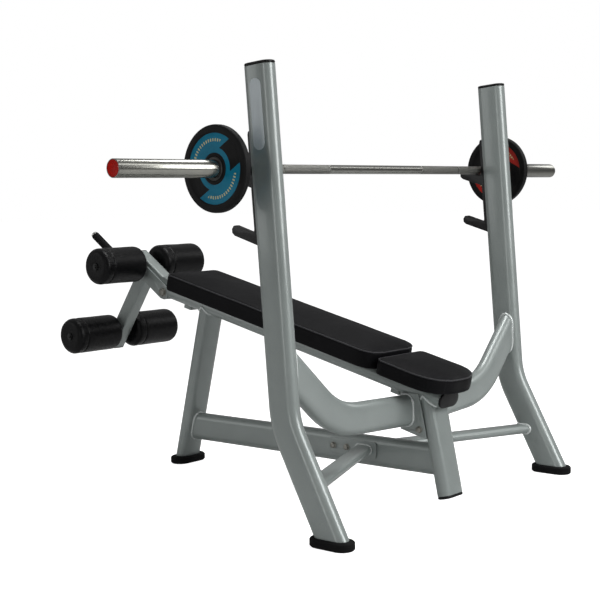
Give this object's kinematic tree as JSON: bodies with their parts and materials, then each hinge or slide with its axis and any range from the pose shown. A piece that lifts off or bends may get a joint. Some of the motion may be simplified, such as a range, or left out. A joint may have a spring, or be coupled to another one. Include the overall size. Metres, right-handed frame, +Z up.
{
  "type": "olympic decline bench press",
  "caption": "Decline bench press with leaning uprights, bar hooks, a swinging leg hold with foam rollers, and a loaded barbell racked across it.",
  "frame": {"origin": "on the floor, at the middle of the footprint", "axes": "+Z up, +Y to the lifter's right along the bar, +X towards the low head end of the bench"},
  "size_m": [1.7612, 2.2006, 1.3511],
  "materials": {
    "frame_paint": "gloss silver-grey powder coat",
    "black_steel": "satin black powder coat",
    "black_rubber": "matt moulded rubber",
    "black_plastic": "satin moulded plastic",
    "vinyl_upholstery": "grained black vinyl over foam and board",
    "roller_foam": "smooth black foam with a vinyl skin",
    "zinc": "zinc plated",
    "chrome": "polished chrome plate",
    "red_plastic": "smooth red plastic",
    "badge_metal": "pale grey printed foil, left blank"
  },
  "bodies": {
    "frame": {"spine": "frame_paint", "foot_leg": "frame_paint", "head_post": "frame_paint", "foot_pad_leg": "black_rubber", "foot_pad_left": "black_rubber", "foot_pad_right": "black_rubber", "head_post_cap": "black_plastic", "pad_rail_cap": "black_plastic", "upright_cap_left": "black_plastic", "upright_cap_right": "black_plastic", "upright_left": "frame_paint", "upright_right": "frame_paint", "arm_mount_block": "frame_paint", "arm_flange_left": "frame_paint", "arm_flange_right": "frame_paint", "arm_left": "frame_paint", "arm_right": "frame_paint", "brace_flange_left": "frame_paint", "brace_flange_right": "frame_paint", "brace_left": "frame_paint", "brace_right": "frame_paint", "pad_rail": "frame_paint", "pivot_bracket": "frame_paint", "bar_hook_left": "black_steel", "bar_hook_right": "black_steel", "pad_strap_foot": "black_steel", "pad_strap_head": "black_steel", "badge": "badge_metal", "arm_bolt": "zinc", "brace_bolt_1": "zinc", "brace_bolt_2": "zinc", "pad_bolt_foot": "zinc", "pad_bolt_head": "zinc", "main_pad": "vinyl_upholstery", "head_pad": "vinyl_upholstery"},
    "leg_hold": {"leg_hold_top_plug": "black_plastic", "leg_hold_bottom_plug": "black_plastic", "leg_hold_upper_tube": "frame_paint", "leg_hold_lower_tube": "frame_paint", "leg_hold_lug_left": "frame_paint", "leg_hold_lug_right": "frame_paint", "handle_bar": "frame_paint", "leg_hold_pivot_bolt": "zinc", "upper_axle": "zinc", "lower_axle": "zinc", "handle_grip": "black_rubber", "handle_end_cap": "chrome"},
    "upper_roller_left": {"upper_roller_left": "roller_foam"},
    "upper_roller_right": {"upper_roller_right": "roller_foam"},
    "lower_roller_left": {"lower_roller_left": "roller_foam"},
    "lower_roller_right": {"lower_roller_right": "roller_foam"},
    "barbell": {"bar_shaft": "chrome"},
    "sleeve_left": {"sleeve_left": "chrome", "sleeve_cap_left": "red_plastic"},
    "sleeve_right": {"sleeve_right": "chrome", "sleeve_cap_right": "red_plastic"},
    "plate_left": {"weight_plate_left": "black_rubber", "plate_insert_left": "chrome"},
    "plate_right": {"weight_plate_right": "black_rubber", "plate_insert_right": "chrome"}
  },
  "joints": [
    {"name": "leg_hold_swing", "type": "hinge", "parent": "frame", "child": "leg_hold", "pos_m": [-0.4531, 0, 0.63], "axis": [0, 1, 0], "range_deg": [0, 25]},
    {"name": "upper_roller_left_spin", "type": "hinge", "parent": "leg_hold", "child": "upper_roller_left", "pos_m": [-0.57278, 0, 0.73455], "axis": [0, 1, 0], "continuous": true},
    {"name": "upper_roller_right_spin", "type": "hinge", "parent": "leg_hold", "child": "upper_roller_right", "pos_m": [-0.57278, 0, 0.73455], "axis": [0, 1, 0], "continuous": true},
    {"name": "lower_roller_left_spin", "type": "hinge", "parent": "leg_hold", "child": "lower_roller_left", "pos_m": [-0.73305, 0, 0.47078], "axis": [0, 1, 0], "continuous": true},
    {"name": "lower_roller_right_spin", "type": "hinge", "parent": "leg_hold", "child": "lower_roller_right", "pos_m": [-0.73305, 0, 0.47078], "axis": [0, 1, 0], "continuous": true},
    {"name": "barbell_lift", "type": "slide", "parent": "frame", "child": "barbell", "axis": [-0.0663, 0, 0.9978], "range_m": [0, 0.3]},
    {"name": "sleeve_left_spin", "type": "hinge", "parent": "barbell", "child": "sleeve_left", "pos_m": [0.52298, 0, 1.05154], "axis": [0, 1, 0], "continuous": true},
    {"name": "sleeve_right_spin", "type": "hinge", "parent": "barbell", "child": "sleeve_right", "pos_m": [0.52298, 0, 1.05154], "axis": [0, 1, 0], "continuous": true},
    {"name": "plate_left_load", "type": "slide", "parent": "sleeve_left", "child": "plate_left", "axis": [0, -1, 0], "range_m": [0, 0.36]},
    {"name": "plate_right_load", "type": "slide", "parent": "sleeve_right", "child": "plate_right", "axis": [0, 1, 0], "range_m": [0, 0.36]}
  ]
}
